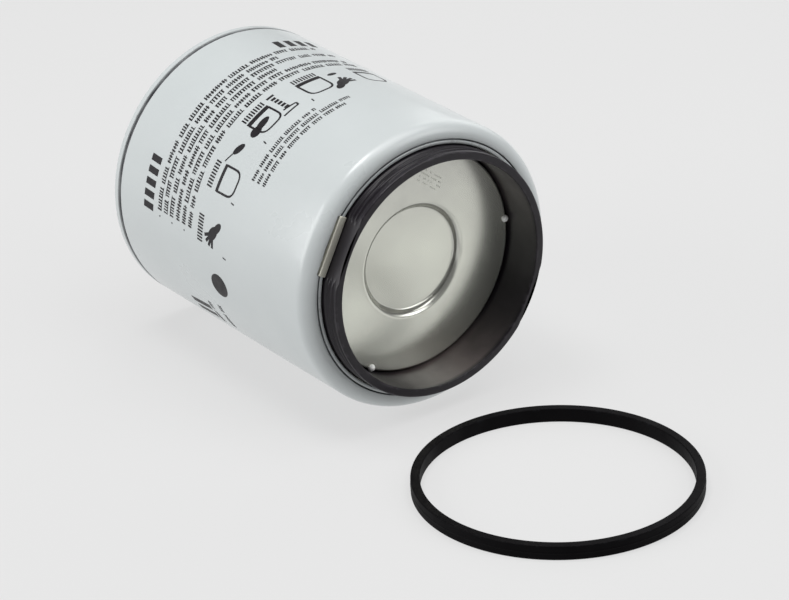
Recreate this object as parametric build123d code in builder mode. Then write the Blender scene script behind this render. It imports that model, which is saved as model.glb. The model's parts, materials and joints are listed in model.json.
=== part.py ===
from build123d import *
import math
import os

os.makedirs("parts", exist_ok=True)

# Spin-on fuel filter and water separator, lying on its side, with its loose bowl seal.
# Millimetres. The filter's axis is the Y axis: the threaded head end faces +Y and the
# open bowl end faces -Y. The origin is the centre of the head thread's mouth.

# ---- driving dimensions ----
can_r = 54.0  # outside radius of the drawn can
wall = 0.9  # can sheet
rim_y = -125.4  # free rim of the bowl thread ring
face_y = rim_y + 8.0  # end face of the can, which the bowl seal sits on
seam_y = 1.3  # groove under the double seam
seam_top_y = 5.0

# bowl end
ring_r = 46.0  # crest radius of the bowl thread
ring_in_r = 43.0
flat_d = 44.2  # distance from the axis to each wrench flat
flat_angle = -27.0  # direction of the first flat, from +X towards +Z
shoulder_r = 5.0
lip_r = 46.6  # mouth of the can
bead_r = 0.65
flange_r = 52.6
flange_y = face_y + 2.3
flange_h = 7.8
skirt_h = 5.0
thread_end_y = face_y - 0.7
lock_t = 1.0
tab_w = 3.0
tab_len = 22.4
tab_gap = 0.15  # between a flat and its tab
notch_clear = 0.75  # between a tab and the edge of its notch in the can's face

# head end
plate_r = 50.9
plate_t = 4.0
thread_minor_r = 11.72  # 1 inch - 14 UN
hub_r = 16.0
hub_len = 16.0
inlet_r = 4.5
inlet_pitch_r = 30.0
inlet_count = 8
lid_t = 0.8
gasket_in_r = 45.8
gasket_out_r = 50.4
gasket_h = 6.0
gasket_round = 0.6

# filter element
cap_r = 42.3
cap_t = 0.5
cap_rim = 5.0
top_cap_y = -10.0
bottom_cap_y = rim_y + 16.6
glue_t = 3.0
tube_in_r = 22.3
tube_out_r = 23.0
screen_r = 23.4
pleats = 54
pleat_tip_r = 40.3
pleat_fold_r = 28.0
sheet_depth = 4.2  # radial depth of the folded sheet at a fold
dish_r = 21.8
dish_floor_r = 18.6
dish_depth = 2.6
nub_r = 1.3
nub_pitch_r = 41.6
nub_angle = 5.8
nub_step = 117.75

# loose bowl seal, lying on the surface in front of the bowl end
seal_out_r = 51.1
seal_in_r = 47.7
seal_h = 5.3
seal_round = 0.35
seal_x = -3.8
seal_y = rim_y - 69.6
floor_z = -can_r


def radial_plane(angle):
    """Plane through the axis whose normal points outwards at an angle from +X to +Z."""
    a = math.radians(angle)
    return Plane(origin=(0, 0, 0), x_dir=(0, 1, 0), z_dir=(math.cos(a), 0, math.sin(a)))


def finish(builder, name):
    """Names a finished piece and writes it."""
    builder.part.label = name
    export_step(builder.part, f"parts/{name}.step")


# ---- can: drawn shell with a rounded shoulder, a rolled mouth and the seam's outer roll ----
groove_depth = 0.5
groove_r = 0.9
seam_round = 0.7
mouth_r = lip_r + 2 * bead_r
bead_proud = 0.25
web_w = 1.4  # joins the rolled bead to the face
web_t = 0.5
notch_w = tab_w + tab_gap + notch_clear
notch_deep = 3.0
with BuildPart() as can:
    with BuildSketch(Plane.XY) as can_profile:
        with BuildLine():
            Polyline(
                (can_r - wall, seam_top_y),
                (can_r, seam_top_y),
                (can_r, face_y),
                (mouth_r, face_y),
                (mouth_r, face_y + wall),
                (can_r - wall, face_y + wall),
                close=True,
            )
        make_face()
        outer_corners = can_profile.vertices().sort_by(Axis.X)[-2:].sort_by(Axis.Y)
        fillet(outer_corners[0], shoulder_r)
        fillet(outer_corners[1], seam_round)
        inner_corners = can_profile.vertices().group_by(Axis.Y)[1].sort_by(Axis.X)
        fillet(inner_corners[-1], shoulder_r - wall)
        with Locations((can_r + groove_r - groove_depth, seam_y)):
            Circle(groove_r, mode=Mode.SUBTRACT)
        with Locations((lip_r + bead_r, face_y + bead_r - bead_proud)):
            Circle(bead_r)
        with Locations((mouth_r, face_y + wall)):
            Rectangle(web_w, web_t, align=(Align.CENTER, Align.MAX))
    revolve(axis=Axis.Y)
    for turn in (0, 180):
        with BuildSketch(Plane.XZ.offset(-face_y)):
            with PolarLocations(flat_d, 1, start_angle=flat_angle + turn):
                Rectangle(notch_w, tab_len + 2 * tab_gap, align=(Align.MIN, Align.CENTER))
        extrude(amount=notch_deep, both=True, mode=Mode.SUBTRACT)
finish(can, "can")

# ---- seaming lid: holds the head gasket and is rolled into the can's end ----
lid_in_r = 43.6
lid_wall_r = plate_r + 0.1
lid_flange_y = seam_top_y - 1.4
lid_flange_t = 1.0
lid_lip_r = lid_in_r + 1.0
lid_lip_h = 2.4
with BuildPart() as seaming_lid:
    with BuildSketch(Plane.XY):
        with BuildLine():
            Polyline(
                (lid_in_r, 0),
                (lid_wall_r + lid_t, 0),
                (lid_wall_r + lid_t, lid_flange_y),
                (can_r - wall, lid_flange_y),
                (can_r - wall, lid_flange_y + lid_flange_t),
                (lid_wall_r, lid_flange_y + lid_flange_t),
                (lid_wall_r, lid_t),
                (lid_lip_r + lid_t, lid_t),
                (lid_lip_r + lid_t, lid_t + lid_lip_h),
                (lid_lip_r, lid_t + lid_lip_h),
                (lid_lip_r, lid_t),
                (lid_in_r, lid_t),
                close=True,
            )
        make_face()
    revolve(axis=Axis.Y)
finish(seaming_lid, "seaming_lid")

# ---- sealing compound packed inside the double seam ----
sealant_in_r = lid_wall_r + lid_t
sealant_h = 2.2
with BuildPart() as seam_sealant:
    with BuildSketch(Plane.XY):
        with Locations((sealant_in_r, lid_flange_y)):
            Rectangle(can_r - wall - sealant_in_r, sealant_h, align=(Align.MIN, Align.MAX))
    revolve(axis=Axis.Y)
finish(seam_sealant, "seam_sealant")

# ---- base plate with its inward threaded hub and the ring of inlet holes ----
hub_bevel = 1.5
with BuildPart() as base_plate:
    with BuildSketch(Plane.XY):
        with BuildLine():
            Polyline(
                (thread_minor_r, -hub_len),
                (thread_minor_r, 0),
                (plate_r, 0),
                (plate_r, -plate_t),
                (hub_r + hub_bevel, -plate_t),
                (hub_r, -plate_t - hub_bevel),
                (hub_r, -hub_len),
                close=True,
            )
        make_face()
    revolve(axis=Axis.Y)
    with BuildSketch(Plane.XZ):
        with PolarLocations(inlet_pitch_r, inlet_count, start_angle=22.5):
            Circle(inlet_r)
    extrude(amount=2 * plate_t, both=True, mode=Mode.SUBTRACT)
finish(base_plate, "base_plate")

# ---- head gasket, standing proud of the seam ----
with BuildPart() as head_gasket:
    with BuildSketch(Plane.XZ.offset(-lid_t)):
        Circle(gasket_out_r)
        Circle(gasket_in_r, mode=Mode.SUBTRACT)
    extrude(amount=-gasket_h)
    fillet(head_gasket.edges().group_by(Axis.Y)[-1], gasket_round)
finish(head_gasket, "head_gasket")

# ---- grommet that seals the element onto the hub ----
grommet_r = 19.4
grommet_h = 5.5
grommet_low_y = top_cap_y - 1.5
brim_r = grommet_r + 2.4
brim_low_y = top_cap_y + 0.1
brim_t = 1.9
with BuildPart() as hub_grommet:
    with BuildSketch(Plane.XZ.offset(-grommet_low_y)):
        Circle(grommet_r)
        Circle(hub_r, mode=Mode.SUBTRACT)
    extrude(amount=-grommet_h)
    with BuildSketch(Plane.XZ.offset(-brim_low_y)):
        Circle(brim_r)
        Circle(hub_r, mode=Mode.SUBTRACT)
    extrude(amount=-brim_t)
finish(hub_grommet, "hub_grommet")

# ---- element's head-end cap, a shallow tinned cup with a centre hole ----
cap_hole_r = grommet_r + 0.1
top_glue_y = top_cap_y - cap_t
cap_round = 0.8
with BuildPart() as top_end_cap:
    with BuildSketch(Plane.XY):
        with BuildLine():
            Polyline(
                (cap_hole_r, top_glue_y),
                (cap_hole_r, top_cap_y),
                (cap_r - cap_round, top_cap_y),
                (cap_r, top_cap_y - cap_round),
                (cap_r, top_cap_y - cap_rim),
                (cap_r - cap_t, top_cap_y - cap_rim),
                (cap_r - cap_t, top_glue_y - cap_round),
                (cap_r - cap_t - cap_round, top_glue_y),
                close=True,
            )
        make_face()
    revolve(axis=Axis.Y)
finish(top_end_cap, "top_end_cap")

# ---- element's bowl-end cap: closed cup with a dished centre and three centring nubs ----
cap_inner_y = bottom_cap_y + cap_t
dish_offset = 0.18  # how far the sheet's thickness moves the dish's inner slope outwards
bend_r = 1.2
nub_y = bottom_cap_y + 0.2
with BuildPart() as bottom_end_cap:
    with BuildSketch(Plane.XY) as cap_profile:
        with BuildLine():
            Polyline(
                (0, bottom_cap_y + dish_depth),
                (dish_floor_r, bottom_cap_y + dish_depth),
                (dish_r, bottom_cap_y),
                (cap_r, bottom_cap_y),
                (cap_r, bottom_cap_y + cap_rim),
                (cap_r - cap_t, bottom_cap_y + cap_rim),
                (cap_r - cap_t, cap_inner_y),
                (dish_r + dish_offset, cap_inner_y),
                (dish_floor_r + dish_offset, cap_inner_y + dish_depth),
                (0, cap_inner_y + dish_depth),
                close=True,
            )
        make_face()
        near_dish = cap_profile.vertices().filter_by_position(Axis.X, dish_floor_r, dish_r + 1)
        bends = near_dish.sort_by(Axis.X)
        fillet(bends[0::2], bend_r)
        fillet(bends[1::2], bend_r - cap_t)
        rim_corners = cap_profile.vertices().sort_by(Axis.X)[-4:].sort_by(Axis.Y)
        fillet(rim_corners[0], bend_r)
        fillet(rim_corners[1], bend_r - cap_t)
    revolve(axis=Axis.Y)
    with Locations(Plane.XZ.offset(-nub_y)):
        with PolarLocations(nub_pitch_r, 3, start_angle=nub_angle, angular_range=3 * nub_step):
            Sphere(nub_r)
    with BuildSketch(Plane.XZ.offset(-cap_inner_y)):
        Circle(cap_r - cap_t)
        Circle(dish_r + 2 * bend_r, mode=Mode.SUBTRACT)
    extrude(amount=-cap_rim, mode=Mode.SUBTRACT)
finish(bottom_end_cap, "bottom_end_cap")

# ---- potting adhesive in each end cap ----
glue_r = cap_r - 1.6
for name, low_y in (("top_adhesive", top_glue_y - glue_t), ("bottom_adhesive", cap_inner_y)):
    with BuildPart() as adhesive:
        with BuildSketch(Plane.XZ.offset(-low_y)):
            Circle(glue_r)
            Circle(screen_r, mode=Mode.SUBTRACT)
        extrude(amount=-glue_t)
    finish(adhesive, name)

# ---- pleated paper between the two beds of adhesive ----
media_low_y = cap_inner_y + glue_t
media_high_y = top_glue_y - glue_t
media_len = media_high_y - media_low_y
half_pitch = math.pi / pleats


def star(tip, fold):
    """Corner points of a closed zigzag between two radii, one tip and one fold per pleat."""
    radii = [tip if k % 2 == 0 else fold for k in range(2 * pleats)]
    return [(r * math.cos(k * half_pitch), r * math.sin(k * half_pitch)) for k, r in enumerate(radii)]


with BuildPart() as pleated_media:
    with BuildSketch(Plane.XZ.offset(-media_low_y)):
        with BuildLine():
            Polyline(*star(pleat_tip_r, pleat_fold_r), close=True)
        make_face()
        with BuildLine():
            Polyline(*star(pleat_tip_r - sheet_depth, pleat_fold_r - sheet_depth), close=True)
        make_face(mode=Mode.SUBTRACT)
    extrude(amount=-media_len)
finish(pleated_media, "pleated_media")

# ---- steel clip that joins the two ends of the pleated sheet, over one pleat's tip ----
clip_w = 2.6
clip_depth = 3.0
clip_t = 0.3
clip_in_r = pleat_tip_r + 0.05
outwards = (Align.MAX, Align.CENTER)
with BuildPart() as media_clip:
    with BuildSketch(Plane.XZ.offset(-media_low_y)):
        with Locations((clip_in_r + clip_t, 0)):
            Rectangle(clip_t + clip_depth, clip_w, align=outwards)
        with Locations((clip_in_r, 0)):
            Rectangle(clip_depth, clip_w - 2 * clip_t, align=outwards, mode=Mode.SUBTRACT)
    extrude(amount=-media_len)
finish(media_clip, "media_clip")

# ---- three hot-melt bands that keep the pleats apart, broken at the clip ----
band_count = 3
band_h = 2.0
band_t = 0.7
band_gap = clip_w + 0.6
band_pitch = media_len / (band_count + 1)
with BuildPart() as pleat_bands:
    with BuildSketch(Plane.XY):
        for k in range(band_count):
            with Locations((pleat_tip_r, media_low_y + (k + 1) * band_pitch)):
                Rectangle(band_t, band_h, align=(Align.MIN, Align.CENTER))
    revolve(axis=Axis.Y)
    with BuildSketch(Plane.XZ.offset(-media_low_y)):
        with Locations((pleat_tip_r, 0)):
            Rectangle(2 * clip_depth, band_gap)
    extrude(amount=-media_len, mode=Mode.SUBTRACT)
finish(pleat_bands, "pleat_bands")

# ---- perforated centre tube, located by the dish of the bowl-end cap ----
hole_rows = 10
hole_columns = 10
hole_r = 2.0
tube_len = top_glue_y - cap_inner_y
with BuildPart() as centre_tube:
    with BuildSketch(Plane.XZ.offset(-cap_inner_y)):
        Circle(tube_out_r)
        Circle(tube_in_r, mode=Mode.SUBTRACT)
    extrude(amount=-tube_len)
    for k in range(hole_columns):
        with BuildSketch(radial_plane(k * 360 / hole_columns)):
            with Locations((cap_inner_y + tube_len / 2, 0)):
                with GridLocations(tube_len / (hole_rows + 1), 1, hole_rows, 1):
                    Circle(hole_r)
        extrude(amount=tube_out_r + 1, mode=Mode.SUBTRACT)
finish(centre_tube, "centre_tube")

# ---- water-repelling screen wrapped round the centre tube ----
with BuildPart() as outlet_screen:
    with BuildSketch(Plane.XZ.offset(-cap_inner_y)):
        Circle(screen_r)
        Circle(tube_out_r, mode=Mode.SUBTRACT)
    extrude(amount=-tube_len)
finish(outlet_screen, "outlet_screen")

# ---- black thread ring: bowl thread outside the can, flange and skirt inside it ----
oring_r = 1.5
oring_centre_r = 51.55
oring_y = flange_y + 4.0
gland_half = 1.7  # half the width of the O-ring's groove
gland_r = oring_centre_r - oring_r
neck_r = ring_r - 0.5
rim_bevel = 0.6
flange_bevel = 2.2
flange_top_y = flange_y + flange_h
with BuildPart() as thread_ring:
    with BuildSketch(Plane.XY):
        with BuildLine():
            Polyline(
                (ring_in_r + rim_bevel, rim_y),
                (ring_r - rim_bevel, rim_y),
                (ring_r, rim_y + rim_bevel),
                (ring_r, thread_end_y),
                (neck_r, thread_end_y),
                (neck_r, flange_y),
                (flange_r - flange_bevel, flange_y),
                (flange_r, flange_y + flange_bevel),
                (flange_r, oring_y - gland_half),
                (gland_r, oring_y - gland_half),
                (gland_r, oring_y + gland_half),
                (flange_r, oring_y + gland_half),
                (flange_r, flange_top_y),
                (ring_r, flange_top_y),
                (ring_r - 1, flange_top_y + skirt_h),
                (ring_in_r, flange_top_y + skirt_h),
                (ring_in_r, rim_y + rim_bevel),
                close=True,
            )
        make_face()
    revolve(axis=Axis.Y)
    for turn in (0, 180):
        with BuildSketch(Plane.XZ.offset(-rim_y)):
            with PolarLocations(flat_d, 1, start_angle=flat_angle + turn):
                Rectangle(can_r - flat_d, can_r, align=(Align.MIN, Align.CENTER))
        extrude(amount=-(flange_y - rim_y), mode=Mode.SUBTRACT)
finish(thread_ring, "thread_ring")

# ---- O-ring between the flange and the inside of the can ----
with BuildPart() as ring_oring:
    with BuildSketch(Plane.XY):
        with Locations((oring_centre_r, oring_y)):
            Circle(oring_r)
    revolve(axis=Axis.Y)
finish(ring_oring, "ring_oring")

# ---- steel lock ring under the can's face, with a tab standing in each flat ----
lock_y = flange_y - lock_t - 0.1
tab_proud = 0.5
tab_d = flat_d + tab_gap
with BuildPart() as lock_ring:
    with BuildSketch(Plane.XZ.offset(-lock_y)):
        Circle(can_r - shoulder_r)
        Circle(ring_r + 0.2, mode=Mode.SUBTRACT)
        for turn in (0, 180):
            with PolarLocations(tab_d, 1, start_angle=flat_angle + turn):
                Rectangle(tab_w, tab_len, align=(Align.MIN, Align.CENTER))
    extrude(amount=-lock_t)
    with BuildSketch(Plane.XZ.offset(-lock_y)):
        for turn in (0, 180):
            with PolarLocations(tab_d, 1, start_angle=flat_angle + turn):
                Rectangle(tab_w, tab_len, align=(Align.MIN, Align.CENTER))
    extrude(amount=lock_y - face_y + tab_proud)
finish(lock_ring, "lock_ring")

# ---- loose square-cut bowl seal ----
with BuildPart() as bowl_seal:
    with BuildSketch(Plane(origin=(seal_x, seal_y, floor_z))):
        Circle(seal_out_r)
        Circle(seal_in_r, mode=Mode.SUBTRACT)
    extrude(amount=seal_h)
    fillet(bowl_seal.edges(), seal_round)
finish(bowl_seal, "bowl_seal")
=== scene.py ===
import json
import math

import bmesh
import bpy
import numpy as np
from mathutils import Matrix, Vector


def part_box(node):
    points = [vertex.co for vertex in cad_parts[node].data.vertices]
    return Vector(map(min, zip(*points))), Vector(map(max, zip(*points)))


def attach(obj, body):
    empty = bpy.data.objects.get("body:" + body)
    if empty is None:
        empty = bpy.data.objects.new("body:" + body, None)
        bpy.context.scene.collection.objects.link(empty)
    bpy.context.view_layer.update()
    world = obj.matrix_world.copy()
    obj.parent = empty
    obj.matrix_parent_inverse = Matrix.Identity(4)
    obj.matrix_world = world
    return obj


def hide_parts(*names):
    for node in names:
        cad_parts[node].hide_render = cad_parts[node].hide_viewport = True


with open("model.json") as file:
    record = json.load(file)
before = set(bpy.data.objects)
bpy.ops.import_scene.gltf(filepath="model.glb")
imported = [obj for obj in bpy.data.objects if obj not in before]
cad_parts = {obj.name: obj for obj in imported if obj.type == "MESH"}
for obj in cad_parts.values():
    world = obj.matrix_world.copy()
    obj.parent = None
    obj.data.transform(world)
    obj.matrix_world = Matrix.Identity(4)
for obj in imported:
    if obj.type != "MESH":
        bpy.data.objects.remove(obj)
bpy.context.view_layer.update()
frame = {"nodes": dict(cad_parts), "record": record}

# ---------------------------------------------------------------- places from the frame
MM = 0.001
mounts = {m["name"]: m for m in frame["record"]["mounts"]}
can_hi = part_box("can")[1]
ring_lo, ring_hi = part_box("thread_ring")
lock_lo, lock_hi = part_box("lock_ring")
cap_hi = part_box("bottom_end_cap")[1]
plate_lo, plate_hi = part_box("base_plate")
lid_lo, lid_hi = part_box("seaming_lid")
gasket_lo, gasket_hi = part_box("head_gasket")
seal_lo, seal_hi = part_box("bowl_seal")

CAN_R = can_hi.x
RIM_Y = ring_lo.y
FACE_Y = mounts["bowl_seat"]["pos_m"][1]
SEAM_TOP_Y = can_hi.y
FLOOR_Z = seal_lo.z
BOWL_THREAD_R = mounts["bowl_thread"]["dims"]["r_mm"] * MM
HEAD_THREAD_R = mounts["head_thread"]["dims"]["r_mm"] * MM

# sizes that the frame's boxes don't give, as in the CAD
WALL = 0.9 * MM
SHOULDER_R = 5.0 * MM
SEAM_Y = 1.3 * MM
RING_IN_R = 43.0 * MM
FLAT_D = 44.2 * MM
FLAT_ANGLE = math.radians(117.0)
TAB_W = 3.0 * MM
TAB_LEN = 22.4 * MM
TAB_GAP = 0.15 * MM
NOTCH_D = FLAT_D + TAB_GAP + TAB_W + 0.75 * MM
CAP_Y = RIM_Y + 16.6 * MM
CAP_EDGE_R = 42.3 * MM
DISH_DEPTH = 2.6 * MM
NUB_COUNT = 3
NUB_ANGLE = math.radians(84.2)
NUB_STEP = math.radians(-117.75)
NUB_PITCH_R = 41.6 * MM
SHEET = 0.8 * MM
GASKET_IN_R = 45.8 * MM
HUB_R = 16.0 * MM
PLATE_T = 4.0 * MM
INLET_COUNT = 8
INLET_R = 4.5 * MM
INLET_PITCH_R = 30.0 * MM

# sizes of shapes that are finer here than in the CAD, or that it leaves out
PAINT_R = CAN_R - 0.04 * MM
LIP_R = 46.4 * MM
LIP_BEAD_R = 0.75 * MM
GROOVE_DEPTH = 0.75 * MM
DISH_R = 20.9 * MM
DISH_FLOOR_R = 19.5 * MM
NUB_R = 1.38 * MM
CODE_SLANT = math.radians(38.0)
BOWL_THREAD_DEPTH = 0.6 * MM
BOWL_THREAD_PITCH = 2.1 * MM
HEAD_THREAD_DEPTH = 1.0 * MM
HEAD_THREAD_PITCH = 1.814 * MM
WEAR_REACH = 0.5 * MM


# ---------------------------------------------------------------- shapes
def rounded(corners, steps=6):
    """Closed outline from corners (r, y, radius): each corner becomes an arc tangent to its two sides.
    Returns the points and, for each, 1 on a tight arc and 0 elsewhere, which marks where paint wears."""
    points, tight = [], []
    count = len(corners)
    for k, (x, y, radius) in enumerate(corners):
        here = np.array([x, y])
        before = np.array(corners[k - 1][:2]) - here
        after = np.array(corners[(k + 1) % count][:2]) - here
        if radius <= 0:
            points.append(here)
            tight.append(0.0)
            continue
        before, after = before / np.linalg.norm(before), after / np.linalg.norm(after)
        half = math.acos(np.clip(before @ after, -1, 1)) / 2
        middle = before + after
        centre = here + middle / np.linalg.norm(middle) * radius / math.sin(half)
        first = here + before * radius / math.tan(half) - centre
        last = here + after * radius / math.tan(half) - centre
        share = np.linspace(0, 1, steps)[:, None]
        arc = first * (1 - share) + last * share
        arc = arc / np.linalg.norm(arc, axis=1)[:, None] * radius + centre
        points.extend(arc)
        tight.extend([1.0 if radius < 1.5 * MM else 0.0] * steps)
    return np.array(points), np.array(tight)


def gap_to(places, marks):
    """Distance from each place along an outline to the nearest mark."""
    return np.abs(places[:, None] - marks).min(axis=1, initial=np.inf)


def finer(outline, tight, step):
    """The closed outline with extra points on its long sides, no further apart than step, and one more point
    where the wear beside a tight arc ends. Returns the points and the wear at each."""
    ring = np.vstack([outline, outline[:1]])
    length = np.concatenate([[0], np.cumsum(np.linalg.norm(np.diff(ring, axis=0), axis=1))])
    at = [np.linspace(a, b, max(1, math.ceil((b - a) / step)) + 1)[:-1] for a, b in zip(length, length[1:])]
    worn = length[:-1][tight > 0]
    ends = np.concatenate([worn - WEAR_REACH, worn + WEAR_REACH])
    ends = ends[(gap_to(ends, worn) > 0.9 * WEAR_REACH) & (ends > 0) & (ends < length[-1])]
    at = np.unique(np.concatenate([*at, ends]).round(7))
    wear = np.clip(1 - gap_to(at, worn) / WEAR_REACH, 0, 1)
    return np.stack([np.interp(at, length, ring[:, 0]), np.interp(at, length, ring[:, 1])], 1), wear


def turned(outline, steps):
    """The angle of each step round the axis, and the radius and height of the outline repeated at each."""
    angle = np.linspace(0, 2 * np.pi, steps, endpoint=False)[:, None]
    r = np.broadcast_to(outline[:, 0], (steps, len(outline)))
    return angle, r, np.broadcast_to(outline[:, 1], r.shape)


def about_axis(r, y, angle):
    """Points about the filter's axis; the angle starts at the top and turns towards +X."""
    return np.stack([r * np.sin(angle), y, r * np.cos(angle)], -1)


def mesh_piece(name, points, faces, merge=False, crease=32, **marks):
    """A mesh object from points and faces, faces turned outwards by the sign of the volume they enclose.
    Marks are numbers for each point, such as wear or painted shade and painted reflection, that the finishes
    read."""
    mesh = bpy.data.meshes.new(name)
    mesh.from_pydata(points.reshape(-1, 3).tolist(), [], faces.tolist())
    for label, values in marks.items():
        layer = mesh.attributes.new(label, "FLOAT", "POINT")
        values = np.broadcast_to(values, points.shape[:-1])
        layer.data.foreach_set("value", values.ravel().astype(np.float32))
    if merge:
        work = bmesh.new()
        work.from_mesh(mesh)
        bmesh.ops.remove_doubles(work, verts=work.verts, dist=1e-6)
        bmesh.ops.dissolve_degenerate(work, edges=work.edges, dist=1e-7)
        work.to_mesh(mesh)
        work.free()
    flat = points.reshape(-1, 3)
    a, b, c, d = (flat[faces[:, k]] for k in range(4))
    volume = (np.cross(b, c) * a).sum() + (np.cross(c, d) * a).sum()
    if volume < 0:
        mesh.flip_normals()
    mesh.validate()
    mesh.shade_smooth()
    mesh.set_sharp_from_angle(angle=math.radians(crease))
    piece = bpy.data.objects.new(name, mesh)
    bpy.context.scene.collection.objects.link(piece)
    return piece


def closed_grid(rows, columns, close_rows=True, close_columns=True):
    """Quads of a grid of rows by columns, joined round in either direction."""
    last_row = rows if close_rows else rows - 1
    last_column = columns if close_columns else columns - 1
    i, j = np.meshgrid(np.arange(last_row), np.arange(last_column), indexing="ij")
    i, j = i.ravel(), j.ravel()
    i2, j2 = (i + 1) % rows, (j + 1) % columns
    return np.stack([i * columns + j, i2 * columns + j, i2 * columns + j2, i * columns + j2], 1)


def spin(name, r, y, wear=0.0, steps=256, place=about_axis, crease=32, **marks):
    """A closed outline (r, y) turned about an axis. r and y may also be arrays of steps by points, so that
    the outline changes with the angle."""
    angle = np.linspace(0, 2 * np.pi, steps, endpoint=False)[:, None]
    r = np.broadcast_to(r, (steps, np.shape(r)[-1]))
    y = np.broadcast_to(y, r.shape)
    return mesh_piece(name, place(r, y, angle), closed_grid(*r.shape), crease=crease, wear=wear, **marks)


def turn_from(angle, centre):
    """Angle measured from a centre direction, between minus half a turn and half a turn."""
    return (angle - centre + np.pi) % (2 * np.pi) - np.pi


def helix_groove(angle, y, start, end, pitch):
    """Depth share of a right-hand thread, 0 on its crest to 1 in its root: a trapezoid repeated every pitch
    along y and carried round with the angle, fading out at both ends."""
    phase = (y / pitch - angle / (2 * np.pi)) % 1.0
    wave = np.clip((0.5 - np.abs(phase - 0.5)) * 4.2 - 0.45, 0, 1)
    fade = np.clip((y - start) / (0.5 * pitch), 0, 1) * np.clip((end - y) / (0.5 * pitch), 0, 1)
    return wave * fade


def rounded_bar(name, centre, along, across, up, size, radius):
    """A bar with rounded edges: a superellipse-cornered box, its section carried along its length and drawn
    in at both ends by a quarter circle."""
    length, width, height = size
    corner = np.linspace(0, np.pi / 2, 5)
    section = []
    for k, (sx, sy) in enumerate(((1, 1), (-1, 1), (-1, -1), (1, -1))):
        bend = corner + k * np.pi / 2
        section.append(np.stack([sx * (width / 2 - radius) + radius * np.cos(bend),
                                 sy * (height / 2 - radius) + radius * np.sin(bend)], 1))
    section = np.concatenate(section)
    inset = radius * (1 - np.sin(corner))
    offset = length / 2 - radius + radius * np.cos(corner)
    straight = np.linspace(-offset[-1], offset[-1], 12)[1:-1]
    at = np.concatenate([-offset, straight, offset[::-1]])
    shrink = np.concatenate([inset, np.zeros(len(straight)), inset[::-1]])
    scale_x = (width / 2 - shrink) / (width / 2)
    scale_y = (height / 2 - shrink) / (height / 2)
    rows = np.stack([section[None, :, 0] * scale_x[:, None], section[None, :, 1] * scale_y[:, None]], -1)
    cap = np.zeros_like(rows[:1])
    rows = np.concatenate([cap, rows, cap])
    at = np.concatenate([at[:1], at, at[-1:]])
    points = (np.array(centre) + at[:, None, None] * np.array(along)
              + rows[..., :1] * np.array(across) + rows[..., 1:] * np.array(up))
    faces = closed_grid(rows.shape[0], rows.shape[1], close_rows=False)
    return mesh_piece(name, points, faces, merge=True, crease=50)


# ---------------------------------------------------------------- shader groups
def new_group(name, inputs, outputs):
    """An empty shader group with named sockets: inputs are (name, kind, default), outputs (name, kind)."""
    group = bpy.data.node_groups.new(name, "ShaderNodeTree")
    for label, kind, default in inputs:
        socket = group.interface.new_socket(name=label, in_out="INPUT", socket_type="NodeSocket" + kind)
        socket.default_value = default
    for label, kind in outputs:
        group.interface.new_socket(name=label, in_out="OUTPUT", socket_type="NodeSocket" + kind)
    return group, group.nodes.new("NodeGroupInput").outputs, group.nodes.new("NodeGroupOutput").inputs


def feed(tree, socket, value):
    """Sets a plain value on a socket, or links another socket to it."""
    if isinstance(value, bpy.types.NodeSocket):
        tree.links.new(value, socket)
    else:
        socket.default_value = value


def math_node(tree, operation, first, second, clamp=False):
    """One Math node on two numbers or sockets."""
    node = tree.nodes.new("ShaderNodeMath")
    node.operation = operation
    node.use_clamp = clamp
    feed(tree, node.inputs[0], first)
    feed(tree, node.inputs[1], second)
    return node.outputs[0]


def blend_colour(tree, mask, first, second):
    """Mixes two colours by a mask; each may be a colour or a socket."""
    mix = tree.nodes.new("ShaderNodeMix")
    mix.data_type = "RGBA"
    tree.links.new(mask, mix.inputs["Factor"])
    for label, value in (("A", first), ("B", second)):
        feed(tree, mix.inputs[label], (*value, 1) if isinstance(value, tuple) else value)
    return mix.outputs["Result"]


def on_object(group):
    """Object coordinates, which stay fixed to the piece."""
    return group.nodes.new("ShaderNodeTexCoord").outputs["Object"]


def cloud(group, vector, scale, detail=2.0, roughness=0.5):
    """Soft noise read at a vector; its scale and detail may be numbers or sockets."""
    noise = group.nodes.new("ShaderNodeTexNoise")
    for label, value in (("Vector", vector), ("Scale", scale), ("Detail", detail), ("Roughness", roughness)):
        feed(group, noise.inputs[label], value)
    return noise.outputs["Fac"]


def point_mark(group, name):
    """A number stored at each point of the piece, such as wear or painted shade and painted reflection."""
    mark = group.nodes.new("ShaderNodeAttribute")
    mark.attribute_name = name
    return mark.outputs["Fac"]


def blotch_group():
    """Two colours mixed by soft cloudy noise."""
    group, source, out = new_group(
        "soft_blotches",
        [("Colour A", "Color", (0.5, 0.5, 0.5, 1)), ("Colour B", "Color", (0.4, 0.4, 0.4, 1)),
         ("Scale", "Float", 60.0), ("Contrast", "Float", 1.5)],
        [("Colour", "Color"), ("Mask", "Float")])
    noise = cloud(group, on_object(group), source["Scale"], detail=4.0, roughness=0.55)
    centred = math_node(group, "SUBTRACT", noise, 0.5)
    spread = math_node(group, "MULTIPLY", centred, source["Contrast"])
    mask = math_node(group, "ADD", spread, 0.5, clamp=True)
    group.links.new(blend_colour(group, mask, source["Colour A"], source["Colour B"]), out["Colour"])
    group.links.new(mask, out["Mask"])
    return group


def grain_group():
    """Fine relief such as orange peel or rolling lines: noise stretched by a scale for each axis."""
    group, source, out = new_group(
        "fine_grain",
        [("Stretch", "Vector", (1.0, 1.0, 1.0)), ("Scale", "Float", 800.0), ("Detail", "Float", 3.0)],
        [("Height", "Float")])
    stretch = group.nodes.new("ShaderNodeVectorMath")
    stretch.operation = "MULTIPLY"
    group.links.new(on_object(group), stretch.inputs[0])
    group.links.new(source["Stretch"], stretch.inputs[1])
    height = cloud(group, stretch.outputs["Vector"], source["Scale"], detail=source["Detail"])
    group.links.new(height, out["Height"])
    return group


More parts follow.
